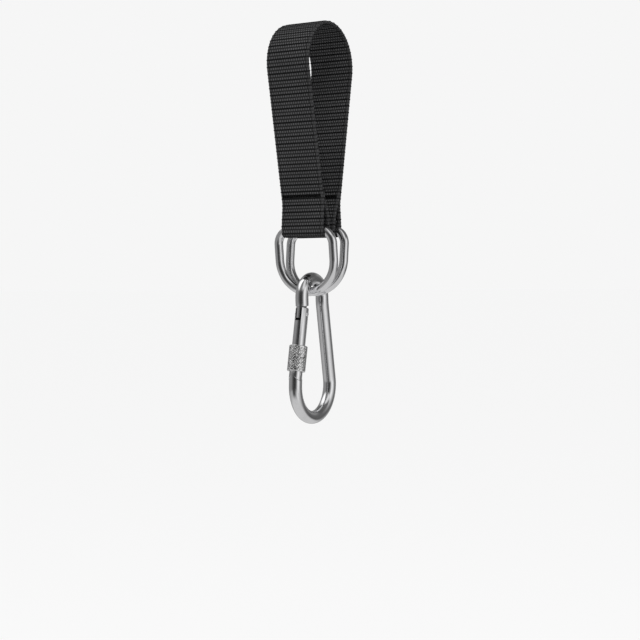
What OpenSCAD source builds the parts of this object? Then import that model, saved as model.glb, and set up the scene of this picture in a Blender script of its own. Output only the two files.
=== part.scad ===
// Hanging strap for a round swing beam: a sewn webbing sling, two D-rings and a pear-shaped
// screw-lock snap hook. Millimetres. Origin on the beam's axis at the middle of the webbing.
// +X along the beam, -Y towards the hook's gate, +Z up.

/* [Beam and webbing] */
// Inner radius of the webbing's seat on the beam
beam_r = 36.4; // [33:0.1:38]
// Width of the webbing
web_w = 45; // [38:1:50]
// Thickness of one ply of webbing
web_t = 2.5; // [2:0.1:4]
// Slope of each leg away from vertical
leg_deg = 10.87; // [10:0.01:12]
// Height at which the legs turn into the ring loops
loop_top_z = -126; // [-140:1:-110]
// Top end of the sewn-back tails
tail_z = -115; // [-117:0.5:-105]

/* [Stitching] */
// Middle of the stitched bar across each leg
stitch_z = -120; // [-121:0.5:-112]
// Height of the stitched bar
stitch_h = 3.2; // [2:0.1:5]
// Length of the stitched bar across the webbing
stitch_w = 41; // [30:1:44]
// Thickness of thread standing on the webbing
stitch_t = 0.5; // [0.3:0.1:1]

/* [D-rings] */
// Radius of the ring wire
ring_wire_r = 4; // [3:0.5:5]
// Middle line radius of the ring's bow
ring_bow_r = 29.35; // [25:0.05:32]
// Middle line radius of the ring's top corners
ring_corner_r = 13; // [8:0.5:16]
// Distance from the top bar's middle line to the bow's lowest point
ring_len = 56.89; // [50:0.01:60]
// Distance of each ring's top bar from the middle plane
ring_y = 10.2; // [8:0.1:12]
// Height of the rings' top bars
ring_z = -150.8; // [-155:0.1:-145]
// Tilt of each ring's plane
ring_tilt = 5.9; // [4:0.01:8]
// Place of the front ring along the beam
front_slide = -1; // [-1.5:0.1:1.5]
// Place of the rear ring along the beam
rear_slide = 0.7; // [-1.5:0.1:1.5]

/* [Hook body] */
// Radius of the hook's wire
hook_r = 6; // [5:0.5:8]
// Middle line radius of the narrow bow
top_r = 17.3; // [15:0.1:20]
// Height of the narrow bow's centre
top_z = -212.8; // [-216:0.1:-210]
// Middle line radius of the wide bow
low_r = 29.5; // [26:0.1:32]
// Height of the wide bow's centre
low_z = -294; // [-298:0.5:-290]
// Slope of the hook's long back
leg_out = 9.4; // [6:0.1:12]
// Radius of the bend from the narrow bow into the back
back_r = 50; // [30:1:80]
// Radius of the nose's slight bend below the narrow bow
nose_r = 65; // [50:1:120]
// Slope of the nose at its end
nose_deg = 6.7; // [5:0.1:8]
// Thickness of the nose's tongue
tongue_x = 3.5; // [3:0.1:5]
// Lower end of the tongue, measured from the gate's pivot
tongue_at = 51.2; // [50.5:0.1:53]

/* [Gate] */
// Distance of the gate's pivot from the middle plane
piv_y = -28.7; // [-30:0.1:-27]
// Height of the gate's pivot
piv_z = -282; // [-286:0.5:-278]
// Lean of the gate away from vertical
gate_deg = 11.36; // [10:0.01:13]
// Radius of the gate
gate_r = 6; // [5:0.5:7]
// Distance from the pivot to the gate's tip
gate_len = 61.2; // [60:0.1:61.5]
// Width of the slots in both ends of the gate
slot_w = 6; // [5:0.1:7]
// Floor of the upper slot, measured from the pivot
slot_floor = 48.9; // [45:0.1:50]
// Latch pin, measured from the pivot
latch_at = 55.4; // [55:0.1:57]
// Radius of the latch pin
latch_r = 2; // [1:0.1:2.5]
// Radius of the pivot rivet
rivet_r = 1.8; // [1.5:0.1:2.5]

/* [Lock sleeve] */
// Outside radius of the sleeve
sleeve_r = 8.35; // [7.5:0.05:9]
// Length of the sleeve
sleeve_len = 23.5; // [22:0.1:25]
// Lower edge of the sleeve, measured from the pivot
sleeve_at = 2.6; // [2:0.1:6]
// Radius of the sleeve's main bore
sleeve_bore = 6.35; // [6.1:0.05:7]
// Depth of the wider mouth
mouth_len = 12; // [12:0.5:14]
// Radius of the wider mouth that goes over the nose
mouth_r = 7.1; // [6.5:0.1:7.5]

/* [Return spring] */
// Radius of the plunger
plunger_r = 2.1; // [1.5:0.1:2.5]
// Middle line radius of the coil
coil_r = 1.6; // [1.2:0.1:2]
// Radius of the coil's wire
coil_wire = 0.35; // [0.2:0.05:0.5]
// Number of turns in the coil
coil_turns = 11; // [6:1:14]

/* [Hidden] */
$fn = 64;
web_or = beam_r + web_t;
sl = tan(leg_deg);
in_off = web_t / cos(leg_deg);
leg_c = web_or / cos(leg_deg);      // the leg's outer face, carried up to the beam's axis
loop_r = ring_wire_r + 0.1 + web_t;
spring_top = 34;
cam_lift = 0.8;
gate_swing = 18;
// the back's slope starts where its bend ends, and runs into the wide bow
bend_y = top_r + back_r * (1 - cos(leg_out));
bend_z = top_z - back_r * sin(leg_out);
low_y = bend_y + (bend_z - low_z - low_r * sin(leg_out)) * tan(leg_out) - low_r * cos(leg_out);
// the wide bow ends where its tangent meets the pivot
heel_d = norm([piv_y - low_y, piv_z - low_z]);
heel_a = atan2(piv_z - low_z, piv_y - low_y) + acos(low_r / heel_d);

STEEL = [0.72, 0.73, 0.74];
BLACK = [0.16, 0.16, 0.17];

// outer face of a leg at height z, as a distance from the middle plane
function leg_y(z) = leg_c + z * sl;
function cam_r(a) = a < -60 || a > 75 ? gate_r - 0.1 : 4.4 + cam_lift / gate_swing * max(0, min(a, 21));

// draws a flat shape in the plane of the hook, w wide about the middle
module across(w) { rotate([90, 0, 90]) translate([0, 0, -w / 2]) linear_extrude(w) children(); }
// round wire between two points in the plane of the hook
module rod(a, b, r, more = 0) {
  l = norm([b[0] - a[0], b[1] - a[1]]);
  translate([0, a[0], a[1]]) rotate([-atan2(b[0] - a[0], b[1] - a[1]), 0, 0])
    translate([0, 0, -more]) cylinder(h = l + 2 * more, r = r);
}
module bow(c, big, r, from, turn) {
  translate([0, c[0], c[1]]) rotate([90, 0, 90]) rotate([0, 0, from])
    rotate_extrude(angle = turn) translate([big, 0]) circle(r);
}
// the gate's own frame: origin on the pivot, +Z along the gate to its tip
module on_gate() { translate([0, piv_y, piv_z]) rotate([-gate_deg, 0, 0]) children(); }
module peg(r, w) { rotate([0, 90, 0]) cylinder(h = w, r = r, center = true); }

// ---- webbing
module leg_2d() {
  // sloping leg, a hair thinner than the bight it hangs from and starting just inside it
  polygon([[-(web_or - 0.03) * cos(leg_deg - 1), -(web_or - 0.03) * sin(leg_deg - 1)],
           [-leg_y(-110), -110], [-leg_y(loop_top_z), loop_top_z],
           [-leg_y(loop_top_z) + in_off, loop_top_z], [-leg_y(-110) + in_off, -110],
           [-(beam_r + 0.03) * cos(leg_deg - 1), -(beam_r + 0.03) * sin(leg_deg - 1)]]);
  // outer ply of the ring loop
  polygon([[-leg_y(loop_top_z), loop_top_z], [-15.65, -134], [-16.35, -143],
           [-ring_y - loop_r, ring_z], [-ring_y - loop_r + web_t, ring_z], [-13.85, -143],
           [-13.15, -134], [-leg_y(loop_top_z) + in_off, loop_top_z]]);
  // under the ring's top bar
  difference() {
    translate([-ring_y, ring_z]) circle(loop_r);
    translate([-ring_y, ring_z]) circle(loop_r - web_t);
    translate([-ring_y - 20, ring_z]) square([40, 20]);
  }
  // inner ply, back up to the sewn tail
  polygon([[-ring_y + loop_r, ring_z], [-4.2, -142], [-6.3, -133.5], [-8.9, -127.5],
           [-leg_y(-122.5) + 2 * in_off, -122.5], [-leg_y(tail_z) + 2 * in_off, tail_z],
           [-leg_y(tail_z) + in_off, tail_z], [-leg_y(-122.5) + in_off, -122.5], [-11.25, -128.5],
           [-8.7, -134.5], [-6.7, -142], [-ring_y + loop_r - web_t, ring_z]]);
}
module bight_2d() {
  difference() {
    circle(web_or);
    circle(beam_r);
    polygon([[0, 0], [-60 * cos(leg_deg), -60 * sin(leg_deg)], [-60, -60], [60, -60],
             [60 * cos(leg_deg), -60 * sin(leg_deg)]]);
  }
}
module webbing_strap() color(BLACK) difference() {
  across(web_w) { bight_2d(); leg_2d(); mirror([1, 0]) leg_2d(); }
  // room for the rings' rounded corners at the edges of the loops
  translate([front_slide, 0, 0]) ring_frame() ring_corners(ring_wire_r + 0.3);
  translate([rear_slide, 0, 0]) mirror([0, 1, 0]) ring_frame() ring_corners(ring_wire_r + 0.3);
}

// ---- stitching: the bars of thread on both faces of the sewn plies
module tack_2d() {
  for (k = [0, 1]) {
    d = k == 0 ? 0 : 2 * in_off;
    t = (k == 0 ? -1 : 1) * stitch_t;
    polygon([[-leg_y(stitch_z + stitch_h / 2) + d, stitch_z + stitch_h / 2],
             [-leg_y(stitch_z - stitch_h / 2) + d, stitch_z - stitch_h / 2],
             [-leg_y(stitch_z - stitch_h / 2) + d + t, stitch_z - stitch_h / 2],
             [-leg_y(stitch_z + stitch_h / 2) + d + t, stitch_z + stitch_h / 2]]);
  }
}
module front_stitching() color([0.08, 0.08, 0.09]) across(stitch_w) tack_2d();
module rear_stitching() color([0.08, 0.08, 0.09]) across(stitch_w) mirror([1, 0]) tack_2d();

// ---- D-rings
module ring_frame() { translate([0, -ring_y, ring_z]) rotate([ring_tilt, 0, 0]) children(); }
module ring_arc(x, z, big, r, from, turn) {
  translate([x, 0, z]) rotate([90, 0, 0]) rotate([0, 0, from])
    rotate_extrude(angle = turn) translate([big, 0]) circle(r);
}
module ring_corners(r) {
  ring_arc(ring_bow_r - ring_corner_r, -ring_corner_r, ring_corner_r, r, 0, 90);
  ring_arc(ring_corner_r - ring_bow_r, -ring_corner_r, ring_corner_r, r, 90, 90);
}
module d_ring() {
  peg(ring_wire_r, 2 * (ring_bow_r - ring_corner_r));
  ring_corners(ring_wire_r);
  for (s = [-1, 1]) translate([s * ring_bow_r, 0, ring_bow_r - ring_len])
    cylinder(h = ring_len - ring_bow_r - ring_corner_r, r = ring_wire_r);
  ring_arc(0, ring_bow_r - ring_len, ring_bow_r, ring_wire_r, 180, 180);
}
module front_d_ring() color(STEEL) translate([front_slide, 0, 0]) ring_frame() d_ring();
module rear_d_ring() color(STEEL) translate([rear_slide, 0, 0]) mirror([0, 1, 0]) ring_frame() d_ring();

// ---- hook
// each stretch is a hair thinner than the bow it runs on from, and starts just inside it
module hook_wire() {
  // narrow bow, its back bending out into the long slope
  bow([0, top_z], top_r, hook_r, 0, 180);
  bow([top_r + back_r, top_z], back_r, hook_r - 0.04, 179.4, leg_out + 0.6);
  rod([bend_y, bend_z], [low_y + low_r * cos(leg_out), low_z + low_r * sin(leg_out)],
      hook_r - 0.08, 0.5);
  // wide bow, on to the pivot
  bow([low_y, low_z], low_r, hook_r, heel_a, 360 + leg_out - heel_a);
  rod([low_y + low_r * cos(heel_a), low_z + low_r * sin(heel_a)], [piv_y, piv_z],
      hook_r - 0.04, 0.5);
  // nose
  bow([nose_r - top_r, top_z], nose_r, hook_r - 0.04, 179.4, nose_deg + 0.6);
}
module hook_body() color(STEEL) difference() {
  union() {
    difference() {
      hook_wire();
      // pockets for the gate's two cheeks
      on_gate() for (s = [-1, 1]) translate([s * (slot_w / 2 - 0.15 + 5), 0, 0]) peg(gate_r + 0.5, 10);
    }
    // tongue of the nose, its outer face round like the gate
    on_gate() intersection() {
      translate([-tongue_x / 2, -6, tongue_at]) cube([tongue_x, 10.4, 64.3 - tongue_at]);
      cylinder(h = 70, r = gate_r - 0.1);
    }
    // round end inside the gate's fork, with the cam on top
    on_gate() intersection() {
      across(slot_w - 0.4) polygon([for (a = [-180 : 5 : 179]) [sin(a), cos(a)] * cam_r(a)]);
      translate([0, 0, -8]) cylinder(h = 16, r = gate_r - 0.1);
    }
  }
  // seat for the latch pin, open to the inside
  on_gate() translate([0, 0, latch_at]) peg(latch_r + 0.35, 20);
  on_gate() translate([-10, 0, latch_at - latch_r - 0.35]) cube([20, 10, 2 * latch_r + 0.7]);
  on_gate() peg(rivet_r + 0.07, 20);
}
module hook_gate() color(STEEL) on_gate() difference() {
  union() {
    cylinder(h = gate_len - 0.6, r = gate_r);
    translate([0, 0, gate_len - 0.6]) cylinder(h = 0.6, r1 = gate_r, r2 = gate_r - 0.6);
    intersection() {
      translate([0, 0, -gate_r]) cylinder(h = gate_r + 1, r = gate_r);
      peg(gate_r, 20);
    }
  }
  // lower fork, rounded out about the pivot
  translate([-slot_w / 2, -10, -20]) cube([slot_w, 20, 20]);
  peg(gate_r + 0.3, slot_w);
  // upper fork
  translate([-slot_w / 2, -10, slot_floor]) cube([slot_w, 20, 20]);
  translate([0, 0, latch_at]) peg(latch_r, 20);
  peg(rivet_r, 20);
  // spring pocket
  cylinder(h = spring_top, r = plunger_r + 0.08);
}
module gate_pivot() color(STEEL) on_gate() peg(rivet_r, 11.4);
module latch_pin() color(STEEL) on_gate() translate([0, 0, latch_at]) peg(latch_r, 13.7);
module lock_sleeve() color([0.55, 0.56, 0.57]) on_gate() translate([0, 0, sleeve_at]) difference() {
  union() {
    cylinder(h = 0.6, r1 = sleeve_r - 0.6, r2 = sleeve_r);
    translate([0, 0, 0.6]) cylinder(h = sleeve_len - 1.2, r = sleeve_r);
    translate([0, 0, sleeve_len - 0.6]) cylinder(h = 0.6, r1 = sleeve_r, r2 = sleeve_r - 0.6);
  }
  translate([0, 0, -1]) cylinder(h = sleeve_len + 2, r = sleeve_bore);
  translate([0, 0, sleeve_len - mouth_len]) cylinder(h = mouth_len + 1, r = mouth_r);
}

// ---- return spring, inside the gate
module gate_spring() color(STEEL) on_gate() {
  n = coil_turns * 20;
  m = 8;
  z0 = 10.6;
  rise = (spring_top - 0.1 - coil_wire - z0 - coil_wire) / n;
  pts = [for (i = [0 : n]) for (j = [0 : m - 1])
    let (a = i * 18, b = j * 360 / m, r = coil_r + coil_wire * cos(b))
    [r * cos(a), r * sin(a), z0 + coil_wire + i * rise + coil_wire * sin(b)]];
  sides = [for (i = [0 : n - 1]) for (j = [0 : m - 1])
    let (p = i * m + j, q = i * m + (j + 1) % m) each [[p, p + m, q], [q, p + m, q + m]]];
  polyhedron(pts, concat([[for (j = [0 : m - 1]) j]], sides,
             [[for (j = [0 : m - 1]) n * m + m - 1 - j]]));
}
module spring_plunger() color(STEEL) on_gate() {
  translate([0, 0, 4.7 + plunger_r]) sphere(plunger_r);
  translate([0, 0, 4.7 + plunger_r]) cylinder(h = 3.6, r = plunger_r);
}

webbing_strap();
front_stitching();
rear_stitching();
front_d_ring();
rear_d_ring();
hook_body();
hook_gate();
gate_pivot();
latch_pin();
lock_sleeve();
gate_spring();
spring_plunger();
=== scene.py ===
import math

import bmesh
import bpy
from mathutils import Matrix, Vector


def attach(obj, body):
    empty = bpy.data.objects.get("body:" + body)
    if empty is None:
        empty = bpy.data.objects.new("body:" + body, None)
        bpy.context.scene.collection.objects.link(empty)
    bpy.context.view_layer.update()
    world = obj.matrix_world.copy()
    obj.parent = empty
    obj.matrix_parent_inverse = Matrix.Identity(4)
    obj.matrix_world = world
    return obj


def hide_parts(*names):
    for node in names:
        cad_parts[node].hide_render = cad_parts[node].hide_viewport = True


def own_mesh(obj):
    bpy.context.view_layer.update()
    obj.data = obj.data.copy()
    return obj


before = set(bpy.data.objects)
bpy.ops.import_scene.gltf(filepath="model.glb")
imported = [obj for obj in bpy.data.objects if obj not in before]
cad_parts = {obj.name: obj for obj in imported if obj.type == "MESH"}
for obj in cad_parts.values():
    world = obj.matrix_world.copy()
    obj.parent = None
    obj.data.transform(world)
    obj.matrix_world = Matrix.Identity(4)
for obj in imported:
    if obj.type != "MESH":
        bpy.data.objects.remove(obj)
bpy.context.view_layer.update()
scene = bpy.context.scene
scene.view_settings.view_transform = "Standard"
MM = 0.001
ROW_PITCH, YARN_W = 3.16, 2.5  # of the webbing's weave, along it and across it, in mm
LOOP_BOTTOM = 221.0  # how far along the webbing from its top each ring loop's lowest point is, in mm
# the gate's radius, half its slots' width, its upper slot's floor, and the latch pin's height, in mm
GATE_R, SLOT_HALF, TOP_SLOT, LATCH_Z = 6, 3, 48.9, 55.4


# ---------------------------------------------------------------- camera
CAMERA_PLACE, CAMERA_TURN, CAMERA_LENS = (0.73228, -1.156829, -0.194431), (32.034, -1.638, -0.439), 83.43


def make_camera():
    """The reference view, from its place, its yaw, pitch and roll in degrees, and its lens in mm."""
    yaw, pitch, roll = (math.radians(a) for a in CAMERA_TURN)
    ahead = Vector((-math.sin(yaw) * math.cos(pitch), math.cos(yaw) * math.cos(pitch), math.sin(pitch)))
    side = Vector((math.cos(yaw), math.sin(yaw), 0))
    top = side.cross(ahead)
    right = side * math.cos(roll) + top * math.sin(roll)
    up = top * math.cos(roll) - side * math.sin(roll)
    data = bpy.data.cameras.new("camera")
    data.lens, data.sensor_width = CAMERA_LENS, 36
    cam = bpy.data.objects.new("camera", data)
    scene.collection.objects.link(cam)
    cam.matrix_world = Matrix.Translation(CAMERA_PLACE) @ Matrix((right, up, -ahead)).transposed().to_4x4()
    scene.camera = cam


make_camera()


# ---------------------------------------------------------------- node building
def feed(tree, socket, value):
    """Links another node's socket to this one, or sets a plain value on it."""
    if isinstance(value, bpy.types.NodeSocket):
        tree.links.new(value, socket)
    else:
        socket.default_value = value


def put(tree, kind, settings=None, **inputs):
    """A node in a tree, its inputs given by name, or as _0, _1 by number."""
    node = tree.nodes.new(kind)
    for key, value in (settings or {}).items():
        setattr(node, key, value)
    for key, value in inputs.items():
        numbered = key[0] == "_" and key[1:].isdigit()
        feed(tree, node.inputs[int(key[1:]) if numbered else key.replace("_", " ")], value)
    return node


def calc(tree, operation, *terms):
    """The result of one Math node."""
    node = tree.nodes.new("ShaderNodeMath")
    node.operation = operation
    for socket, value in zip(node.inputs, terms):
        feed(tree, socket, value)
    return node.outputs[0]


def ramp(tree, value, low, high, to_low=0.0, to_high=1.0, kind="SMOOTHSTEP"):
    """Runs from to_low at low to to_high at high."""
    return put(tree, "ShaderNodeMapRange", {"interpolation_type": kind}, Value=value, From_Min=low,
               From_Max=high, To_Min=to_low, To_Max=to_high).outputs["Result"]


def shader_group(name, inputs, outputs):
    """A shader group, the sockets it starts from and those it ends in. An input whose default is None is a vector."""
    group = bpy.data.node_groups.new(name, "ShaderNodeTree")
    for title, default in inputs:
        kind = "NodeSocketVector" if default is None else "NodeSocketFloat"
        socket = group.interface.new_socket(title, in_out="INPUT", socket_type=kind)
        if default is not None:
            socket.default_value = default
    for title in outputs:
        group.interface.new_socket(title, in_out="OUTPUT", socket_type="NodeSocketFloat")
    return group, group.nodes.new("NodeGroupInput").outputs, group.nodes.new("NodeGroupOutput").inputs


def use(tree, group, **inputs):
    """One use of a shader group, as its outputs."""
    return put(tree, "ShaderNodeGroup", {"node_tree": group}, **inputs).outputs


def material(name):
    mat = bpy.data.materials.new(name)
    mat.use_nodes = True
    return mat, mat.node_tree, mat.node_tree.nodes["Principled BSDF"]


def colours(tree, mask, *stops):
    """A colour ramp over a mask; each stop is (place, colour)."""
    node = tree.nodes.new("ShaderNodeValToRGB")
    ends = node.color_ramp.elements
    while len(ends) < len(stops):
        ends.new(0.5)
    for element, (place, shade) in zip(ends, stops):
        element.position = place
        element.color = (*shade, 1)
    tree.links.new(mask, node.inputs["Fac"])
    return node.outputs["Color"]


# ---------------------------------------------------------------- shared effects
def make_hairline():
    """Fine scratches and handling smears of a polished or turned metal."""
    g, i, o = shader_group("hairline_wear", [("Place", None), ("Scale", 900.0), ("Stretch", 6.0), ("Smears", 60.0)],
                           ["Scratch", "Smear"])
    squeeze = put(g, "ShaderNodeCombineXYZ", X=1.0, Y=1.0)
    g.links.new(calc(g, "DIVIDE", 1.0, i["Stretch"]), squeeze.inputs["Z"])
    drawn = put(g, "ShaderNodeVectorMath", {"operation": "MULTIPLY"}, _0=i["Place"], _1=squeeze.outputs[0])
    fine = put(g, "ShaderNodeTexNoise", Vector=drawn.outputs[0], Scale=i["Scale"], Detail=3.0, Roughness=0.7)
    broad = put(g, "ShaderNodeTexNoise", Vector=i["Place"], Scale=i["Smears"], Detail=4.0, Roughness=0.6)
    g.links.new(ramp(g, fine.outputs["Fac"], 0.42, 0.75), o["Scratch"])
    g.links.new(ramp(g, broad.outputs["Fac"], 0.35, 0.72), o["Smear"])
    return g


def make_lint():
    """Sparse dust and lint on cloth and in grooves."""
    g, i, o = shader_group("lint", [("Place", None), ("Scale", 500.0), ("Amount", 0.3)], ["Mask"])
    specks = put(g, "ShaderNodeTexNoise", Vector=i["Place"], Scale=i["Scale"], Detail=5.0, Roughness=0.75)
    patches = put(g, "ShaderNodeTexNoise", Vector=i["Place"], Scale=25.0, Detail=2.0)
    seen = calc(g, "MULTIPLY", ramp(g, specks.outputs["Fac"], 0.58, 0.78), ramp(g, patches.outputs["Fac"], 0.35, 0.7))
    g.links.new(calc(g, "MULTIPLY", seen, i["Amount"]), o["Mask"])
    return g


def make_weave():
    """Rows of yarn across a band: short raised floats side by side, each row half a yarn on from the last."""
    g, i, o = shader_group("band_weave", [("Across", 0.0), ("Along", 0.0), ("Row", ROW_PITCH), ("Yarn", YARN_W)],
                           ["Height", "Groove", "Float"])
    rows = calc(g, "DIVIDE", i["Along"], i["Row"])
    row = calc(g, "FLOOR", rows)
    in_row = calc(g, "ABSOLUTE", calc(g, "SUBTRACT", calc(g, "FRACT", rows), 0.5))
    odd = calc(g, "MODULO", calc(g, "ADD", row, 400.0), 2.0)
    yarns = calc(g, "ADD", calc(g, "DIVIDE", i["Across"], i["Yarn"]), calc(g, "MULTIPLY", odd, 0.5))
    in_yarn = calc(g, "ABSOLUTE", calc(g, "SUBTRACT", calc(g, "FRACT", yarns), 0.5))
    crown = calc(g, "MULTIPLY", ramp(g, in_row, 0.5, 0.12), ramp(g, in_yarn, 0.5, 0.05))
    # every second gap between rows is the deep one
    pair = calc(g, "ABSOLUTE", calc(g, "SUBTRACT", calc(g, "FRACT", calc(g, "MULTIPLY", rows, 0.5)), 0.5))
    gap = calc(g, "ROUND", calc(g, "MULTIPLY", rows, 0.5))
    chance = put(g, "ShaderNodeTexWhiteNoise", {"noise_dimensions": "1D"}, W=gap)
    bold = calc(g, "ADD", 0.62, calc(g, "MULTIPLY", chance.outputs["Value"], 0.45))
    deep = calc(g, "MULTIPLY", ramp(g, pair, 0.33, 0.47), bold)
    thin = calc(g, "MULTIPLY", ramp(g, in_row, 0.36, 0.49), 0.36)
    groove = calc(g, "MAXIMUM", deep, thin)
    strand = calc(g, "SINE", calc(g, "MULTIPLY", i["Across"], 21.0))
    ply = calc(g, "MULTIPLY", strand, 0.06)
    g.links.new(calc(g, "ADD", calc(g, "SUBTRACT", crown, groove), ply), o["Height"])
    g.links.new(groove, o["Groove"])
    g.links.new(crown, o["Float"])
    return g


hairline, lint, band_weave = make_hairline(), make_lint(), make_weave()


# ---------------------------------------------------------------- finishes
def steel(name, base, rough, scratch_scale, stretch, depth, smear=0.10):
    mat, t, shader = material(name)
    place = put(t, "ShaderNodeTexCoord").outputs["Object"]
    wear = use(t, hairline, Place=place, Scale=scratch_scale, Stretch=stretch)
    shader.inputs["Metallic"].default_value = 1.0
    tint = colours(t, wear["Smear"], (0.0, base), (1.0, tuple(c * 0.93 for c in base)))
    t.links.new(tint, shader.inputs["Base Color"])
    spread = calc(t, "ADD", rough, calc(t, "ADD", calc(t, "MULTIPLY", wear["Smear"], smear),
                                        calc(t, "MULTIPLY", wear["Scratch"], smear * 0.6)))
    t.links.new(spread, shader.inputs["Roughness"])
    bump = put(t, "ShaderNodeBump", Strength=0.35, Distance=depth, Height=wear["Scratch"])
    t.links.new(bump.outputs[0], shader.inputs["Normal"])
    return mat


def knurled_steel():
    """Bright crests and grooves darkened as painted shade, unevenly worn."""
    mat = steel("knurled_stainless", (0.9, 0.9, 0.9), 0.10, 1600.0, 2.0, 0.00002, 0.12)
    t = mat.node_tree
    shader = t.nodes["Principled BSDF"]
    groove = put(t, "ShaderNodeAttribute", {"attribute_name": "groove"}).outputs["Fac"]
    place = put(t, "ShaderNodeTexCoord").outputs["Object"]
    uneven = put(t, "ShaderNodeTexNoise", Vector=place, Scale=700.0, Detail=1.0).outputs["Fac"]
    # painted shade in the knurl's grooves, with uneven wear on top
    groove_shade_and_wear = calc(t, "ADD", calc(t, "MULTIPLY", groove, 0.6), calc(t, "MULTIPLY", calc(t, "SUBTRACT", uneven, 0.48), 4.0))
    t.links.new(colours(t, groove_shade_and_wear, (0.0, (1.0, 1.0, 1.0)), (0.45, (0.74, 0.74, 0.74)), (1.0, (0.22, 0.22, 0.22))),
                shader.inputs["Base Color"])
    scratched = shader.inputs["Normal"].links[0].from_socket
    worn = put(t, "ShaderNodeBump", Strength=1.0, Distance=0.0004, Height=uneven, Normal=scratched)
    t.links.new(worn.outputs[0], shader.inputs["Normal"])
    return mat


def webbing_cloth():
    mat, t, shader = material("charcoal_webbing")
    across = put(t, "ShaderNodeAttribute", {"attribute_name": "across"}).outputs["Fac"]
    along = put(t, "ShaderNodeAttribute", {"attribute_name": "along"}).outputs["Fac"]
    place = put(t, "ShaderNodeTexCoord").outputs["Object"]
    weave = use(t, band_weave, Across=across, Along=along, Row=ROW_PITCH, Yarn=YARN_W)
    fluff = use(t, lint, Place=place, Scale=900.0, Amount=0.35)
    fibre = put(t, "ShaderNodeTexNoise", Vector=place, Scale=2200.0, Detail=3.0).outputs["Fac"]
    # the selvedge: a thin dark line, then a paler cord along each edge
    inset = calc(t, "SUBTRACT", 22.5, calc(t, "ABSOLUTE", across))
    line = calc(t, "MULTIPLY", ramp(t, inset, 2.2, 2.5), ramp(t, inset, 3.4, 3.0))
    cord = ramp(t, inset, 2.3, 1.9)
    plain = calc(t, "SUBTRACT", 1.0, calc(t, "MULTIPLY", cord, 0.65))
    # painted light and shade of the weave: the raised floats are painted lighter, the gaps between rows darker
    lifted = calc(t, "MULTIPLY", weave["Float"], plain)
    sunk = calc(t, "MULTIPLY", weave["Groove"], plain)
    # painted shade: a dark band round the lowest point of each ring loop
    under = ramp(t, calc(t, "ABSOLUTE", calc(t, "SUBTRACT", calc(t, "ABSOLUTE", along), LOOP_BOTTOM)), 5.5, 2.5)
    batch = put(t, "ShaderNodeTexNoise", Vector=place, Scale=35.0, Detail=2.0).outputs["Fac"]
    tone = calc(t, "ADD", calc(t, "MULTIPLY", lifted, 0.75), calc(t, "MULTIPLY", fibre, 0.22))
    tone = calc(t, "SUBTRACT", tone, calc(t, "MULTIPLY", sunk, 0.85))
    tone = calc(t, "ADD", tone, calc(t, "MULTIPLY", calc(t, "SUBTRACT", batch, 0.5), 0.25))
    tone = calc(t, "ADD", tone, fluff["Mask"])
    tone = calc(t, "SUBTRACT", tone, calc(t, "MULTIPLY", line, 0.45))
    tone = calc(t, "ADD", tone, calc(t, "MULTIPLY", cord, 0.24))
    # the painted shade at the bottom of each ring loop
    tone = calc(t, "SUBTRACT", tone, calc(t, "MULTIPLY", under, 0.6))
    shade = colours(t, tone, (0.0, (0.0075, 0.0075, 0.0078)), (0.3, (0.019, 0.019, 0.0195)),
                    (0.75, (0.054, 0.054, 0.056)), (1.0, (0.098, 0.098, 0.101)))
    t.links.new(shade, shader.inputs["Base Color"])
    t.links.new(ramp(t, weave["Groove"], 0, 0.8, 0.35, 0.0, "LINEAR"), shader.inputs["Specular IOR Level"])
    t.links.new(ramp(t, weave["Float"], 0, 1, 0.85, 0.55, "LINEAR"), shader.inputs["Roughness"])
    height = calc(t, "ADD", weave["Height"], calc(t, "MULTIPLY", fibre, 0.25))
    bump = put(t, "ShaderNodeBump", Strength=0.9, Distance=0.0003, Height=height)
    t.links.new(bump.outputs[0], shader.inputs["Normal"])
    return mat


def bonded_thread():
    mat, t, shader = material("black_thread")
    place = put(t, "ShaderNodeTexCoord").outputs["Object"]
    twist = put(t, "ShaderNodeTexWave", {"bands_direction": "DIAGONAL"}, Vector=place, Scale=900.0, Distortion=1.0)
    fluff = use(t, lint, Place=place, Scale=1200.0, Amount=0.3)
    tone = calc(t, "ADD", calc(t, "MULTIPLY", twist.outputs["Fac"], 0.6), fluff["Mask"])
    shade = colours(t, tone, (0.0, (0.0006, 0.0006, 0.0006)), (1.0, (0.004, 0.004, 0.0042)))
    t.links.new(shade, shader.inputs["Base Color"])
    shader.inputs["Specular IOR Level"].default_value = 0.05
    shader.inputs["Roughness"].default_value = 0.6
    bump = put(t, "ShaderNodeBump", Strength=0.6, Distance=0.0001, Height=twist.outputs["Fac"])
    t.links.new(bump.outputs[0], shader.inputs["Normal"])
    return mat


polished = steel("polished_stainless", (0.84, 0.84, 0.85), 0.07, 700.0, 8.0, 0.000008)
drawn = steel("drawn_wire_stainless", (0.62, 0.62, 0.63), 0.30, 1500.0, 3.0, 0.00001)
# a near-black, dull metal that paints the shade inside the gate's slots and on the nose's end
recess_shade = steel("milled_slot", (0.05, 0.05, 0.052), 0.55, 1600.0, 2.0, 0.00002)
rolled = knurled_steel()
turned = steel("turned_thread_stainless", (0.60, 0.60, 0.61), 0.26, 1800.0, 1.0, 0.00001)
cloth = webbing_cloth()
thread = bonded_thread()


# ---------------------------------------------------------------- mesh building
def geometry_tree(name, *inputs):
    """A geometry tree with named inputs, and the sockets it starts from. finish_tree ends it."""
    tree = bpy.data.node_groups.new(name, "GeometryNodeTree")
    tree.interface.new_socket("Geometry", in_out="INPUT", socket_type="NodeSocketGeometry")
    for title, kind in inputs:
        tree.interface.new_socket(title, in_out="INPUT", socket_type="NodeSocket" + kind)
    tree.interface.new_socket("Finish", in_out="INPUT", socket_type="NodeSocketMaterial")
    tree.interface.new_socket("Geometry", in_out="OUTPUT", socket_type="NodeSocketGeometry")
    return tree, tree.nodes.new("NodeGroupInput").outputs


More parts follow.
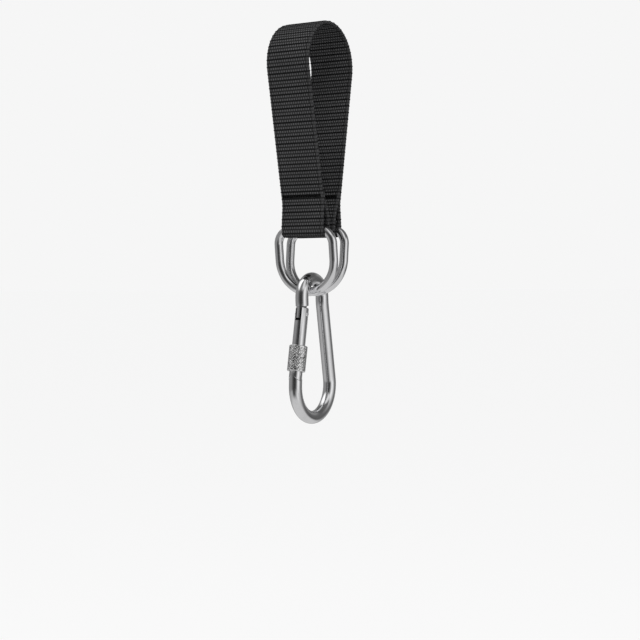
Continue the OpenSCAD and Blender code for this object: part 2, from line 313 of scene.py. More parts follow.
def finish_tree(tree, shape, inputs, smooth=True):
    soft = put(tree, "GeometryNodeSetShadeSmooth", Geometry=shape, Shade_Smooth=smooth)
    real = put(tree, "GeometryNodeRealizeInstances", Geometry=soft.outputs[0])
    done = put(tree, "GeometryNodeSetMaterial", Geometry=real.outputs[0], Material=inputs["Finish"])
    tree.links.new(done.outputs[0], tree.nodes.new("NodeGroupOutput").inputs[0])
    return tree


def new_object(name, mesh):
    ob = bpy.data.objects.new(name, mesh)
    scene.collection.objects.link(ob)
    return ob


def plain(ob):
    """Applies an object's modifiers, leaving a plain mesh."""
    bpy.context.view_layer.update()
    mesh = bpy.data.meshes.new_from_object(ob.evaluated_get(bpy.context.evaluated_depsgraph_get()))
    ob.modifiers.clear()
    old, ob.data = ob.data, mesh
    bpy.data.meshes.remove(old)
    mesh.name = ob.name
    return ob


def grow(ob, tree, finish, **values):
    """Runs a geometry tree on an object with its named inputs, and keeps the result as a mesh."""
    mod = ob.modifiers.new(tree.name, "NODES")
    mod.node_group = tree
    values["Finish"] = finish
    for item in tree.interface.items_tree:
        if item.in_out == "INPUT" and item.name.replace(" ", "_") in values:
            mod[item.identifier] = values[item.name.replace(" ", "_")]
    return plain(ob)


def line_mesh(name, points, closed=False):
    mesh = bpy.data.meshes.new(name)
    edges = [(k, k + 1) for k in range(len(points) - 1)]
    mesh.from_pydata(points, edges + ([(len(points) - 1, 0)] if closed else []), [])
    return new_object(name, mesh)


def lathe(name, profile, sides=96, closed=False):
    """Turns (radius, height) points round the local Z axis, in metres."""
    verts = [(r * math.cos(a), r * math.sin(a), z) for r, z in profile
             for a in (2 * math.pi * k / sides for k in range(sides))]
    n = len(profile)
    faces = [(i * sides + k, i * sides + m, (i + 1) % n * sides + m, (i + 1) % n * sides + k)
             for i in range(n if closed else n - 1) for k, m in ((k, (k + 1) % sides) for k in range(sides))]
    if not closed:
        faces += [tuple(range(sides))[::-1], tuple((n - 1) * sides + k for k in range(sides))]
    mesh = bpy.data.meshes.new(name)
    mesh.from_pydata(verts, [], faces)
    return new_object(name, mesh)


def tidy_normals(ob, sharp=38):
    work = bmesh.new()
    work.from_mesh(ob.data)
    bmesh.ops.remove_doubles(work, verts=work.verts, dist=1e-6)
    bmesh.ops.recalc_face_normals(work, faces=work.faces)
    work.to_mesh(ob.data)
    work.free()
    ob.data.shade_smooth()
    ob.data.set_sharp_from_angle(angle=math.radians(sharp))
    return ob


def cut(ob, cutter, how="DIFFERENCE"):
    tidy_normals(cutter)
    mod = ob.modifiers.new("cut", "BOOLEAN")
    mod.operation, mod.solver, mod.object = how, "EXACT", cutter
    plain(ob)
    bpy.data.objects.remove(cutter)
    return ob


def soften(ob, width, segments=2, angle=40):
    mod = ob.modifiers.new("soften", "BEVEL")
    mod.width, mod.segments, mod.limit_method, mod.angle_limit = width, segments, "ANGLE", math.radians(angle)
    mod.harden_normals = False
    return plain(ob)


def block(name, low, high):
    mesh = bpy.data.meshes.new(name)
    x, y, z = zip(low, high)
    mesh.from_pydata([(x[i], y[j], z[k]) for i in (0, 1) for j in (0, 1) for k in (0, 1)], [],
                     [(0, 1, 3, 2), (4, 6, 7, 5), (0, 4, 5, 1), (2, 3, 7, 6), (0, 2, 6, 4), (1, 5, 7, 3)])
    return new_object(name, mesh)


def peg(name, radius, low, high, sides=64):
    """A round peg along X."""
    ob = lathe(name, [(radius, low), (radius, high)], sides)
    ob.data.transform(Matrix.Rotation(math.radians(90), 4, "Y"))
    return ob


def raise_by(ob, height):
    ob.data.transform(Matrix.Translation((0, 0, height * MM)))
    return ob


def paint(ob, mat):
    ob.data.materials.clear()
    ob.data.materials.append(mat)
    for p in ob.data.polygons:
        p.material_index = 0
    return ob


def fit(ob, body, slot, *nodes):
    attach(ob, body)
    if nodes:
        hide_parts(*nodes)
    return ob


# a wire swept along a path
def make_bent_wire():
    tree, i = geometry_tree("bent_wire", ("Wire Radius", "Float"), ("Sides", "Int"))
    curve = put(tree, "GeometryNodeMeshToCurve", Mesh=i["Geometry"])
    ring = put(tree, "GeometryNodeCurvePrimitiveCircle", Resolution=i["Sides"], Radius=i["Wire Radius"])
    tube = put(tree, "GeometryNodeCurveToMesh", Curve=curve.outputs[0], Profile_Curve=ring.outputs[0], Fill_Caps=True)
    return finish_tree(tree, tube.outputs[0], i)


bent_wire = make_bent_wire()


# ---------------------------------------------------------------- webbing
WEB_W, WEB_T, BEAM_R = 45.0, 2.5, 36.4
LEAN, HOOK_LEAN = math.radians(10.87), math.radians(9.4)
RING_Y, RING_Z, RING_TILT = 10.2, -150.8, math.radians(5.9)
LEG_C = (BEAM_R + WEB_T) / math.cos(LEAN)


def leg_y(z):
    return LEG_C + z * math.tan(LEAN)


def through(points, step):
    """A smooth curve through points, with a point about every step."""
    pts = [Vector(p) for p in points]
    pts = [2 * pts[0] - pts[1], *pts, 2 * pts[-1] - pts[-2]]
    out = []
    for a, b, c, d in zip(pts, pts[1:], pts[2:], pts[3:]):
        n = max(2, round((c - b).length / step))
        for k in range(n):
            t = k / n
            bend, twist = 2 * a - 5 * b + 4 * c - d, 3 * b - a - 3 * c + d
            out.append(0.5 * (2 * b + (c - a) * t + bend * t * t + twist * t ** 3))
    return out + [pts[-2]]


def arc(cy, cz, r, start, end, step):
    n = max(4, round(abs(math.radians(end - start)) * r / step))
    return [Vector((cy + r * math.cos(math.radians(start + (end - start) * k / n)),
                    cz + r * math.sin(math.radians(start + (end - start) * k / n)))) for k in range(n + 1)]


def strap_line():
    """The middle of the band's thickness, from the front tail over the beam to the rear tail, in the YZ plane."""
    step, mid, off = 0.4, WEB_T / 2, WEB_T / math.cos(LEAN)
    loop = 4.1 + mid
    tail = through([(-leg_y(-115) + 1.5 * off, -115), (-leg_y(-119) + 1.5 * off, -119),
                    (-leg_y(-122.5) + 1.5 * off, -122.5), (-10.05, -128), (-7.5, -134),
                    (-5.65, -141), (-4.95, -147), (-RING_Y + loop, RING_Z)], step)
    turn = arc(-RING_Y, RING_Z, loop, 0, -180, step)
    bow = math.degrees(LEAN)
    top = arc(0, 0, BEAM_R + mid, 180 + bow, 90, step)
    leg = through([(-RING_Y - loop, RING_Z), (-15.42, -146.5), (-15.0, -140.5), (-14.45, -134.5),
                   (-14.12, -129.5), (-leg_y(-125) + off / 2, -125), (-leg_y(-119) + off / 2, -119)]
                  + [(-leg_y(z) + off / 2, z) for z in (-112, -102, -88, -68, -40)] + [top[0]], step)
    half = tail[:-1] + turn[:-1] + leg[:-1] + top
    return half + [Vector((-p.x, p.y)) for p in reversed(half[:-1])]


def make_webbing():
    line = strap_line()
    run = [0.0]
    for a, b in zip(line, line[1:]):
        run.append(run[-1] + (b - a).length)
    half_t, flat = WEB_T / 2, WEB_W / 2 - WEB_T / 2
    face = [(-flat + 2 * flat * k / 16, half_t) for k in range(17)]
    edge = [(flat + half_t * math.sin(a), half_t * math.cos(a)) for a in (math.pi * k / 6 for k in range(1, 6))]
    section = face + edge
    section += [(-x, -n) for x, n in section]
    ring = len(section)
    verts, along, across = [], [], []
    for k, p in enumerate(line):
        a, b = line[max(k - 1, 0)], line[min(k + 1, len(line) - 1)]
        t = (b - a).normalized()
        out = Vector((-t.y, t.x))
        hold = 1 - min(1, max(0, (p.y - RING_Z + 2) / 16))
        hold = hold * hold * (3 - 2 * hold)
        for x, n in section:
            past = max(0.0, abs(x) - 16.35)
            drop = (13 - math.sqrt(max(0.0, 169 - past * past))) * hold
            q = p + out * n
            verts.append((x * MM, q.x * MM, (q.y - (drop if n < 0 else 0)) * MM))
            along.append(run[k] - run[-1] / 2)
            across.append(x)
    faces = [(k * ring + j, k * ring + (j + 1) % ring, (k + 1) * ring + (j + 1) % ring, (k + 1) * ring + j)
             for k in range(len(line) - 1) for j in range(ring)]
    last = (len(line) - 1) * ring
    faces += [tuple(range(ring))[::-1], tuple(last + j for j in range(ring))]
    mesh = bpy.data.meshes.new("webbing")
    mesh.from_pydata(verts, [], faces)
    for title, values in (("along", along), ("across", across)):
        mesh.attributes.new(title, "FLOAT", "POINT").data.foreach_set("value", values)
    ob = new_object("webbing", mesh)
    work = bmesh.new()
    work.from_mesh(mesh)
    bmesh.ops.recalc_face_normals(work, faces=work.faces)
    work.to_mesh(mesh)
    work.free()
    return ob, run[-1]


def make_woven_ribs():
    """Sinks the gaps between the rows of yarn, deeper at every second gap, and raises a cord along each edge."""
    tree, i = geometry_tree("woven_ribs", ("Row Pitch", "Float"), ("Rib Height", "Float"), ("Deep Gap", "Float"),
                            ("Edge Cord", "Float"), ("Half Width", "Float"))
    along = put(tree, "GeometryNodeInputNamedAttribute", {"data_type": "FLOAT"}, Name="along").outputs[0]
    across = put(tree, "GeometryNodeInputNamedAttribute", {"data_type": "FLOAT"}, Name="across").outputs[0]
    rows = calc(tree, "DIVIDE", along, i["Row Pitch"])
    in_row = calc(tree, "ABSOLUTE", calc(tree, "SUBTRACT", calc(tree, "FRACT", rows), 0.5))
    sink = calc(tree, "MULTIPLY", calc(tree, "POWER", calc(tree, "MULTIPLY", in_row, 2.0), 4.0), i["Rib Height"])
    two_rows = calc(tree, "FRACT", calc(tree, "MULTIPLY", rows, 0.5))
    pair = calc(tree, "ABSOLUTE", calc(tree, "SUBTRACT", two_rows, 0.5))
    deep = calc(tree, "MULTIPLY", ramp(tree, pair, 0.40, 0.5), i["Deep Gap"])
    inset = calc(tree, "SUBTRACT", i["Half Width"], calc(tree, "ABSOLUTE", across))
    cord = calc(tree, "MULTIPLY", ramp(tree, inset, 2.9, 2.2), ramp(tree, inset, 0.0, 1.0))
    cord = calc(tree, "MULTIPLY", cord, i["Edge Cord"])
    shift = calc(tree, "SUBTRACT", cord, calc(tree, "ADD", sink, deep))
    normal = put(tree, "GeometryNodeInputNormal").outputs[0]
    away = put(tree, "ShaderNodeVectorMath", {"operation": "SCALE"}, _0=normal, Scale=shift)
    moved = put(tree, "GeometryNodeSetPosition", Geometry=i["Geometry"], Offset=away.outputs[0])
    return finish_tree(tree, moved.outputs[0], i)


webbing, web_len = make_webbing()
grow(webbing, make_woven_ribs(), cloth, Row_Pitch=ROW_PITCH, Rib_Height=0.22 * MM, Deep_Gap=0.32 * MM,
     Edge_Cord=0.12 * MM, Half_Width=WEB_W / 2)
fit(webbing, "strap", "webbing", "webbing_strap")


# ---------------------------------------------------------------- bar tacks
def make_bar_tack():
    """A dense zigzag of thread along X, over a few straight runs."""
    tree, i = geometry_tree("bar_tack", ("Length", "Float"), ("Height", "Float"), ("Stitches", "Int"),
                            ("Thread Radius", "Float"), ("Seed", "Int"))
    half = calc(tree, "MULTIPLY", i["Length"], 0.5)
    start = put(tree, "ShaderNodeCombineXYZ", X=calc(tree, "MULTIPLY", half, -1.0)).outputs[0]
    end = put(tree, "ShaderNodeCombineXYZ", X=half).outputs[0]
    line = put(tree, "GeometryNodeCurvePrimitiveLine", Start=start, End=end)
    points = put(tree, "GeometryNodeResampleCurve", Curve=line.outputs[0], Count=i["Stitches"])
    index = put(tree, "GeometryNodeInputIndex").outputs[0]
    side = calc(tree, "SUBTRACT", calc(tree, "MULTIPLY", calc(tree, "MODULO", index, 2.0), 2.0), 1.0)
    stray = put(tree, "FunctionNodeRandomValue", {"data_type": "FLOAT"}, Seed=i["Seed"])
    stray.inputs[2].default_value, stray.inputs[3].default_value = 0.86, 1.0
    swing = calc(tree, "MULTIPLY", side, stray.outputs[1])
    swing = calc(tree, "MULTIPLY", swing, calc(tree, "MULTIPLY", i["Height"], 0.5))
    zigzag = put(tree, "GeometryNodeSetPosition", Geometry=points.outputs[0],
                 Offset=put(tree, "ShaderNodeCombineXYZ", Y=swing).outputs[0])
    thread_ring = put(tree, "GeometryNodeCurvePrimitiveCircle", Resolution=8, Radius=i["Thread Radius"])
    over = put(tree, "GeometryNodeCurveToMesh", Curve=zigzag.outputs[0], Profile_Curve=thread_ring.outputs[0],
               Fill_Caps=True)
    runs = put(tree, "GeometryNodeMeshLine", Count=3)
    tree.links.new(put(tree, "ShaderNodeCombineXYZ", Y=calc(tree, "MULTIPLY", i["Height"], -0.3)).outputs[0],
                   runs.inputs["Start Location"])
    tree.links.new(put(tree, "ShaderNodeCombineXYZ", Y=calc(tree, "MULTIPLY", i["Height"], 0.3)).outputs[0],
                   runs.inputs["Offset"])
    under = put(tree, "GeometryNodeCurveToMesh", Curve=line.outputs[0], Profile_Curve=thread_ring.outputs[0],
                Fill_Caps=True)
    laid = put(tree, "GeometryNodeInstanceOnPoints", Points=runs.outputs[0], Instance=under.outputs[0])
    both = tree.nodes.new("GeometryNodeJoinGeometry")
    for part in (over, laid):
        tree.links.new(part.outputs[0], both.inputs[0])
    return finish_tree(tree, both.outputs[0], i)


bar_tack = make_bar_tack()


def sew(name, turn, node):
    """The bar tack on both faces of one leg; turn is 0 for the front leg and 180 for the rear."""
    z, parts = -120.0, []
    for face, deep in ((1, 0.0), (-1, 2 * WEB_T / math.cos(LEAN))):
        ob = grow(line_mesh(name, [(0, 0, 0), (0.001, 0, 0)]), bar_tack, thread, Length=41 * MM, Height=3.0 * MM,
                  Stitches=75, Thread_Radius=0.30 * MM, Seed=3 + face)
        up = Vector((0, -math.sin(LEAN), math.cos(LEAN)))
        out = Vector((0, -math.cos(LEAN), -math.sin(LEAN))) * face
        along = up.cross(out)
        place = Matrix((along, up, out)).transposed().to_4x4()
        place.translation = Vector((0, -leg_y(z) + deep, z)) * MM + out * 0.05 * MM
        ob.data.transform(Matrix.Rotation(math.radians(turn), 4, "Z") @ place)
        parts.append(ob)
    both = bmesh.new()
    for ob in parts:
        both.from_mesh(ob.data)
    both.to_mesh(parts[0].data)
    both.free()
    bpy.data.objects.remove(parts[1])
    return fit(parts[0], "strap", "thread", node)


sew("front_bar_tack", 0, "front_stitching")
sew("rear_bar_tack", 180, "rear_stitching")


# ---------------------------------------------------------------- D-rings
def ring_path():
    big, small, length, step = 29.35, 13.0, 56.89, 0.7
    half = [Vector((x, 0)) for x in (0, 4, 8, 12)]
    half += [Vector((big - small + small * math.cos(a), -small + small * math.sin(a)))
             for a in (math.radians(90 - 90 * k / 30) for k in range(31))]
    half += [Vector((big, -small - (length - big - small) * k / 20)) for k in range(1, 20)]
    half += [Vector((big * math.cos(a), big - length + big * math.sin(a)))
             for a in (math.radians(-90 * k / 66) for k in range(67))]
    return half + [Vector((-p.x, p.y)) for p in reversed(half[1:-1])]


def make_ring(name, turn, slide, body, node):
    tilt = Matrix.Translation((0, -RING_Y * MM, RING_Z * MM)) @ Matrix.Rotation(RING_TILT, 4, "X")
    ob = line_mesh(name, [(p.x * MM, 0, p.y * MM) for p in ring_path()], closed=True)
    grow(ob, bent_wire, polished, Wire_Radius=4 * MM, Sides=48)
    ob.data.transform(Matrix.Translation((slide * MM, 0, 0)) @ Matrix.Rotation(math.radians(turn), 4, "Z") @ tilt)
    return fit(tidy_normals(ob, 60), body, "polished_steel", node)


make_ring("front_ring", 0, -1.0, "front_ring", "front_d_ring")
make_ring("rear_ring", 180, 0.7, "rear_ring", "rear_d_ring")


# ---------------------------------------------------------------- hook
PIV = Vector((0, -28.7, -282.0))
GATE_LEAN = math.radians(11.36)
GATE = Matrix.Translation(PIV * MM) @ Matrix.Rotation(-GATE_LEAN, 4, "X")
TOP_R, TOP_Z, LOW_R, LOW_Z, BACK_R, NOSE_R = 17.3, -212.8, 29.5, -294.0, 50.0, 65.0
BEND_Y, BEND_Z = TOP_R + BACK_R * (1 - math.cos(HOOK_LEAN)), TOP_Z - BACK_R * math.sin(HOOK_LEAN)
LOW_Y = BEND_Y + (BEND_Z - LOW_Z - LOW_R * math.sin(HOOK_LEAN)) * math.tan(HOOK_LEAN) - LOW_R * math.cos(HOOK_LEAN)


def on_gate(ob):
    ob.data.transform(GATE)
    return ob


def hook_line():
    lean = math.degrees(HOOK_LEAN)
    out = PIV.yz - Vector((LOW_Y, LOW_Z))
    heel = math.degrees(math.atan2(out.y, out.x) + math.acos(LOW_R / out.length))
    nose = arc(NOSE_R - TOP_R, TOP_Z, NOSE_R, 186.7, 180, 0.5)
    top = arc(0, TOP_Z, TOP_R, 180, 0, 0.7)
    back = arc(TOP_R + BACK_R, TOP_Z, BACK_R, 180, 180 + lean, 0.7)
    low = arc(LOW_Y, LOW_Z, LOW_R, lean, heel - 360, 0.7)
    def straight(a, b):
        n = max(2, round((b - a).length / 1.5))
        return [a + (b - a) * k / n for k in range(1, n)]
    return (nose[:-1] + top + back[1:] + straight(back[-1], low[0]) + low + straight(low[-1], PIV.yz) + [PIV.yz])


def round_off(ob, width):
    """Rounds the rim of the nose's flat end."""
    work = bmesh.new()
    work.from_mesh(ob.data)
    end = max((f for f in work.faces if len(f.verts) > 8), key=lambda f: f.calc_center_median().z)
    bmesh.ops.bevel(work, geom=list(end.edges), offset=width, segments=3, profile=0.5, affect="EDGES")
    work.to_mesh(ob.data)
    work.free()


def make_hook():
    ob = line_mesh("hook", [(0, p.x * MM, p.y * MM) for p in hook_line()])
    grow(ob, bent_wire, polished, Wire_Radius=6 * MM, Sides=64)
    tidy_normals(ob)
    round_off(ob, 0.7 * MM)
    for s in (-1, 1):
        low, high = sorted((s * 2.92 * MM, s * 12 * MM))
        cut(ob, on_gate(peg("pocket", 6.12 * MM, low, high, 128)))
    cam = []
    for a in range(-180, 180, 4):
        r = 5.95 if a < -60 or a > 75 else 4.4 + 0.8 / 18 * max(0, min(a, 21))
        cam.append((math.sin(math.radians(a)) * r * MM, math.cos(math.radians(a)) * r * MM))
    n = len(cam)
    mesh = bpy.data.meshes.new("cam")
    mesh.from_pydata([(x * 2.85 * MM, y, z) for x in (-1, 1) for y, z in cam], [],
                     [tuple(range(n)), tuple(range(2 * n - 1, n - 1, -1))] +
                     [(k, (k + 1) % n, n + (k + 1) % n, n + k) for k in range(n)])
    end = tidy_normals(lathe("cam_round", [(5.95 * MM, -8 * MM), (5.95 * MM, 8 * MM)], 128))
    cut(end, new_object("cam", mesh), "INTERSECT")
    cut(ob, on_gate(end), "UNION")
    tongue = tidy_normals(lathe("tongue", [(5.93 * MM, 51.2 * MM), (5.93 * MM, 64.3 * MM)], 96))
    cut(tongue, block("tongue_sides", (-1.75 * MM, -7 * MM, 50 * MM), (1.75 * MM, 4.4 * MM, 70 * MM)), "INTERSECT")
    cut(ob, on_gate(tongue), "UNION")
    cut(ob, on_gate(raise_by(peg("seat", 2.3 * MM, -9 * MM, 9 * MM, 48), LATCH_Z)))
    cut(ob, on_gate(block("mouth", (-9 * MM, 0, 53.1 * MM), (9 * MM, 9 * MM, 57.7 * MM))))
    cut(ob, on_gate(peg("pivot_bore", 1.87 * MM, -9 * MM, 9 * MM, 48)))
    tidy_normals(ob)
    return ob


def shade_nose_end(ob):
    """The nose's flat end and its rim get painted shade: a dark, dull finish."""
    ob.data.materials.append(recess_shade)
    axis = GATE.to_3x3() @ Vector((0, 0, -1))
    for p in ob.data.polygons:
        at = GATE.inverted() @ p.center
        if 60 * MM < at.z < 64 * MM and at.xy.length < 9 * MM and p.normal.dot(axis) > 0.4:
            p.material_index = 1
    return ob


fit(shade_nose_end(paint(soften(make_hook(), 0.10 * MM), polished)), "hook", "polished_steel", "hook_body")


# ---------------------------------------------------------------- gate
def make_gate():
    """A rod with a round, slotted lower end on the rivet, a slotted tip, and a bore for the spring."""
    ob = lathe("gate", [(GATE_R * MM, -7 * MM), (GATE_R * MM, 60.4 * MM), (5.75 * MM, 60.95 * MM),
                        (5.2 * MM, 61.2 * MM)], 128)
    tidy_normals(ob)
    n = 40
    edge = [(GATE_R * math.sin(a), -GATE_R * math.cos(a)) for a in (math.pi * (k / n - 0.5) for k in range(n + 1))]
    edge = [(y * MM, z * MM) for y, z in edge + [(6.5, 0.001), (6.5, 70), (-6.5, 70), (-6.5, 0.001)]]
    n = len(edge)
    mesh = bpy.data.meshes.new("round_end")
    mesh.from_pydata([(x * 7 * MM, y, z) for x in (-1, 1) for y, z in edge], [],
                     [tuple(range(n)), tuple(range(2 * n - 1, n - 1, -1))] +
                     [(k, (k + 1) % n, n + (k + 1) % n, n + k) for k in range(n)])
    cut(ob, new_object("round_end", mesh), "INTERSECT")
    cut(ob, block("low_slot", (-SLOT_HALF * MM, -9 * MM, -9 * MM), (SLOT_HALF * MM, 9 * MM, 0.5 * MM)))
    cut(ob, peg("low_round", 6.3 * MM, -SLOT_HALF * MM, SLOT_HALF * MM, 96))
    cut(ob, block("top_slot", (-SLOT_HALF * MM, -9 * MM, TOP_SLOT * MM), (SLOT_HALF * MM, 9 * MM, 70 * MM)))
    cut(ob, lathe("spring_bore", [(2.18 * MM, 0), (2.18 * MM, 34 * MM)], 48))
    tidy_normals(ob)
    paint(soften(ob, 0.10 * MM), polished)
    # painted shade: the slot and tip are painted dark and dull
    ob.data.materials.append(recess_shade)
    for p in ob.data.polygons:
        at = p.center
        slot_wall = abs(p.normal.x) > 0.9 and abs(at.x) < 3.01 * MM
        if at.z > 48.8 * MM and at.xy.length < 5.9 * MM and (p.normal.z > 0.9 or slot_wall):
            p.material_index = 1
    return on_gate(ob)


fit(make_gate(), "gate", "polished_steel", "hook_gate")


def headed_pin(name, radius, reach, dome, dimple=0.0):
    """A cross pin, its two ends domed, or peened with a dimple in the middle."""
    cap = [(radius * math.cos(a), reach - dome + dome * math.sin(a)) for a in (math.pi / 2 * k / 8 for k in range(8))]
    cap.append((0.02, reach - dimple))
    ob = lathe(name, [(r * MM, z * MM) for r, z in [(r, -z) for r, z in reversed(cap)] + cap], 48)
    ob.data.transform(Matrix.Rotation(math.radians(90), 4, "Y"))
    return ob


latch = headed_pin("latch_cross_pin", 2.0, 6.85, 1.0, 0.7)
latch.data.transform(Matrix.Translation((0, 0, LATCH_Z * MM)))
fit(on_gate(tidy_normals(paint(latch, polished), 50)), "gate", "polished_steel", "latch_pin")
rivet = headed_pin("gate_rivet", 1.8, 6.15, 0.45)
fit(on_gate(tidy_normals(paint(rivet, polished), 50)), "gate", "polished_steel", "gate_pivot")


def helix(name, radius, low, high, turns, steps):
    """The line of a coil round the gate's axis, in mm."""
    n = round(turns * steps)
    return line_mesh(name, [(radius * MM * math.cos(a), radius * MM * math.sin(a), (low + (high - low) * k / n) * MM)
                            for k, a in ((k, 2 * math.pi * k / steps) for k in range(n + 1))])


# screw thread that the sleeve runs on, under the sleeve while the gate is unlocked
fit(on_gate(tidy_normals(grow(helix("gate_thread", 5.92, 7.6, 26.2, 15.5, 64), bent_wire, turned,
                              Wire_Radius=0.36 * MM, Sides=6), 60)), "gate", "polished_steel")
coil = fit(on_gate(tidy_normals(grow(helix("return_spring", 1.6, 10.9, 33.5, 11, 32), bent_wire, drawn,
                                     Wire_Radius=0.35 * MM, Sides=10), 60)), "gate", "spring_steel", "gate_spring")
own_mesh(coil)
tip = [(2.1 * math.sin(a), 6.8 - 2.1 * math.cos(a)) for a in (math.pi / 2 * k / 8 for k in range(9))]
tip[0] = (0.02, 4.7)
plunger = lathe("plunger", [(r * MM, z * MM) for r, z in tip + [(2.1, 10.2), (1.9, 10.4)]], 48)
fit(on_gate(tidy_normals(paint(plunger, drawn))), "plunger", "spring_steel", "spring_plunger")


# ---------------------------------------------------------------- lock sleeve
def make_knurl():
    """Crossed slanting grooves on the outside of a turned sleeve, fading out at its two ends."""
    tree, i = geometry_tree("diamond_knurl", ("Around", "Float"), ("Rise", "Float"), ("Depth", "Float"),
                            ("Radius", "Float"), ("Length", "Float"), ("Plain End", "Float"))
    place = put(tree, "ShaderNodeSeparateXYZ", _0=put(tree, "GeometryNodeInputPosition").outputs[0]).outputs
    turn = calc(tree, "DIVIDE", calc(tree, "ARCTAN2", place[1], place[0]), 2 * math.pi)
    turn = calc(tree, "MULTIPLY", turn, i["Around"])
    climb = calc(tree, "DIVIDE", place[2], i["Rise"])
    crest = []
    for way in ("ADD", "SUBTRACT"):
        phase = calc(tree, "FRACT", calc(tree, way, turn, climb))
        crest.append(calc(tree, "MULTIPLY", calc(tree, "ABSOLUTE", calc(tree, "SUBTRACT", phase, 0.5)), 2.0))
    sink = calc(tree, "SUBTRACT", 1.0, calc(tree, "MULTIPLY", calc(tree, "MINIMUM", crest[0], crest[1]), 1.6))
    sink = calc(tree, "MAXIMUM", sink, 0.0)
    squares = [calc(tree, "POWER", place[axis], 2.0) for axis in (0, 1)]
    radius = calc(tree, "SQRT", calc(tree, "ADD", *squares))
    outside = calc(tree, "GREATER_THAN", radius, calc(tree, "SUBTRACT", i["Radius"], 0.00001))
    from_end = calc(tree, "MINIMUM", place[2], calc(tree, "SUBTRACT", i["Length"], place[2]))
    inner = ramp(tree, from_end, 0.0, 1.0)
    tree.links.new(i["Plain End"], inner.node.inputs["From Min"])
    tree.links.new(calc(tree, "ADD", i["Plain End"], 0.0004), inner.node.inputs["From Max"])
    depth = calc(tree, "MULTIPLY", calc(tree, "MULTIPLY", sink, i["Depth"]), calc(tree, "MULTIPLY", outside, inner))
    flat = put(tree, "ShaderNodeCombineXYZ", X=place[0], Y=place[1]).outputs[0]
    inward = put(tree, "ShaderNodeVectorMath", {"operation": "NORMALIZE"}, _0=flat).outputs[0]
    shift = put(tree, "ShaderNodeVectorMath", {"operation": "SCALE"}, _0=inward,
                Scale=calc(tree, "MULTIPLY", depth, -1.0))
    kept = put(tree, "GeometryNodeStoreNamedAttribute", {"data_type": "FLOAT", "domain": "POINT"},
               Geometry=i["Geometry"], Name="groove", Value=calc(tree, "DIVIDE", depth, i["Depth"]))
    moved = put(tree, "GeometryNodeSetPosition", Geometry=kept.outputs[0], Offset=shift.outputs[0])
    return finish_tree(tree, moved.outputs[0], i)


def make_sleeve():
    r, length, rows = 8.35, 23.5, 150
    side = [(r, 0.5 + (length - 1) * k / rows) for k in range(1, rows + 1)]
    outer = [(r - 0.5, 0.0), (r, 0.5)] + side + [(r - 0.5, length)]
    inner = [(7.3, length), (7.1, length - 0.2), (7.1, length - 12), (6.35, length - 12.7), (6.35, 0.2), (6.55, 0)]
    ob = lathe("sleeve", [(a * MM, b * MM) for a, b in outer + inner], 384, closed=True)
    grow(ob, make_knurl(), rolled, Around=22.0, Rise=2.4 * MM, Depth=0.20 * MM, Radius=r * MM,
         Length=length * MM, Plain_End=0.9 * MM)
    return on_gate(raise_by(tidy_normals(ob, 48), 2.6))


fit(make_sleeve(), "sleeve", "knurled_steel", "lock_sleeve")


# ---------------------------------------------------------------- studio
def around(tree, turn, stops):
    """Brightness by compass direction."""
    node = put(tree, "ShaderNodeValToRGB", Fac=turn)
    ring = node.color_ramp
    while len(ring.elements) < len(stops):
        ring.elements.new(0.5)
    for e, (degrees, level) in zip(ring.elements, stops):
        e.position, e.color = degrees / 360, (level, level, level, 1)
    return node.outputs[0]


def make_world():
    """A plain pale background, which mirror rays alone see as the table of light below."""
    world = bpy.data.worlds.new("studio")
    scene.world = world
    world.use_nodes = True
    t = world.node_tree
    t.nodes.clear()
    toward = put(t, "ShaderNodeSeparateXYZ", _0=put(t, "ShaderNodeTexCoord").outputs["Generated"]).outputs
    turn = calc(t, "DIVIDE", calc(t, "ARCTAN2", toward[1], toward[0]), 2 * math.pi)
    turn = calc(t, "FRACT", calc(t, "ADD", turn, 1.0))
    level, above, below = (around(t, turn, stops) for stops in (STRIPS, OVERHEAD, BELOW))
    raised = put(t, "ShaderNodeMix", {"data_type": "RGBA"}, _0=ramp(t, toward[2], 0.40, 0.65))
    t.links.new(level, raised.inputs[6])
    t.links.new(above, raised.inputs[7])
    # a paler view lower down, then the floor
    lower = put(t, "ShaderNodeMix", {"data_type": "RGBA"}, _0=ramp(t, toward[2], -0.10, -0.28))
    t.links.new(raised.outputs[2], lower.inputs[6])
    t.links.new(below, lower.inputs[7])
    sunk = put(t, "ShaderNodeMix", {"data_type": "RGBA"}, _0=ramp(t, toward[2], -0.34, -0.64))
    t.links.new(lower.outputs[2], sunk.inputs[6])
    sunk.inputs[7].default_value = (0.62, 0.62, 0.62, 1)
    mirrored = put(t, "ShaderNodeBackground", Color=sunk.outputs[2], Strength=1.0)
    open_sky = put(t, "ShaderNodeBackground", Color=(PALE, PALE, PALE, 1), Strength=1.0)
    kind = put(t, "ShaderNodeLightPath")
    pick = put(t, "ShaderNodeMixShader", _0=kind.outputs["Is Glossy Ray"], _1=open_sky.outputs[0],
               _2=mirrored.outputs[0])
    t.links.new(pick.outputs[0], put(t, "ShaderNodeOutputWorld").inputs[0])


PALE = 0.922
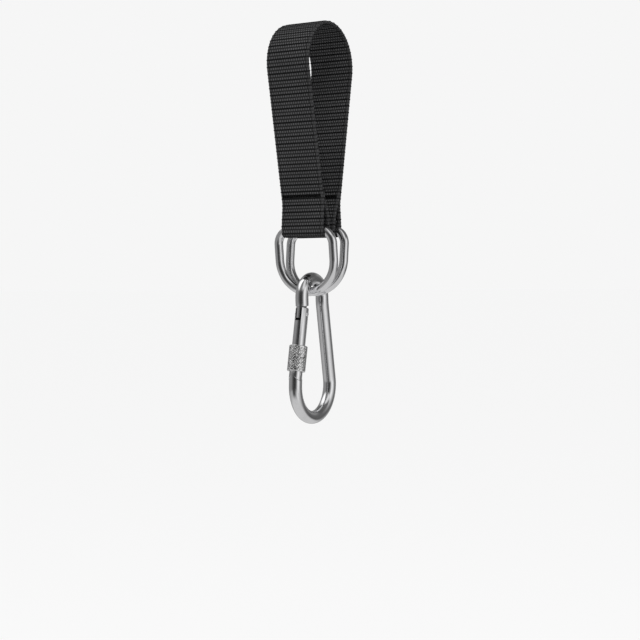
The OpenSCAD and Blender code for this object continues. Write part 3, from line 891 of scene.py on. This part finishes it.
# what polished metal mirrors on the level, by compass direction: (degrees from +X, brightness)
STRIPS = [(0, 0.86), (8, 0.72), (20, 0.50), (34, 0.29), (47, 0.155), (57, 0.11), (67, 0.16), (77, 0.26), (95, 0.30),
          (115, 0.26), (135, 0.24), (185, 0.26), (208, 0.275), (226, 0.255), (240, 0.17), (254, 0.09), (267, 0.045),
          (279, 0.034), (291, 0.036), (303, 0.06), (315, 0.15), (327, 0.42), (339, 0.82), (351, 0.98), (360, 0.88)]
BELOW = [(0, 0.58), (18, 0.46), (32, 0.27), (47, 0.10), (62, 0.11), (87, 0.36), (122, 0.36), (189, 0.40), (211, 0.44),
         (228, 0.45), (243, 0.39), (257, 0.14), (269, 0.05), (281, 0.05), (294, 0.16), (305, 0.32), (317, 0.55),
         (328, 0.80), (341, 0.83), (353, 0.66), (360, 0.58)]
# and above: a large lamp at the left, a paler room elsewhere
OVERHEAD = [(0, 0.14), (60, 0.10), (150, 0.14), (178, 1.2), (232, 1.4), (250, 0.25), (285, 0.20), (318, 0.9),
            (338, 0.7), (360, 0.14)]
make_world()


def make_floor():
    mesh = bpy.data.meshes.new("floor")
    mesh.from_pydata([(x, y, -0.8) for x, y in ((-60, -60), (60, -60), (60, 60), (-60, 60))], [], [(0, 1, 2, 3)])
    floor = new_object("floor", mesh)
    mat, t, shader = material("pale_floor")
    shader.inputs["Base Color"].default_value = (0.3, 0.3, 0.3, 1)
    shader.inputs["Emission Color"].default_value = (1, 1, 1, 1)
    shader.inputs["Emission Strength"].default_value = 0.64
    shader.inputs["Roughness"].default_value = 1.0
    shader.inputs["Specular IOR Level"].default_value = 0.0
    paint(floor, mat)
    floor.visible_glossy = False


def lamp(name, place, aim, size, power):
    data = bpy.data.lights.new(name, "AREA")
    data.shape, data.size, data.energy = "DISK", size, power
    ob = bpy.data.objects.new(name, data)
    scene.collection.objects.link(ob)
    ob.location = place
    ob.rotation_euler = (Vector(aim) - Vector(place)).to_track_quat("-Z", "Y").to_euler()
    ob.visible_glossy = False
    return ob


make_floor()
lamp("key", (0.9, -1.6, 1.5), (0, 0, -0.1), 0.9, 26)
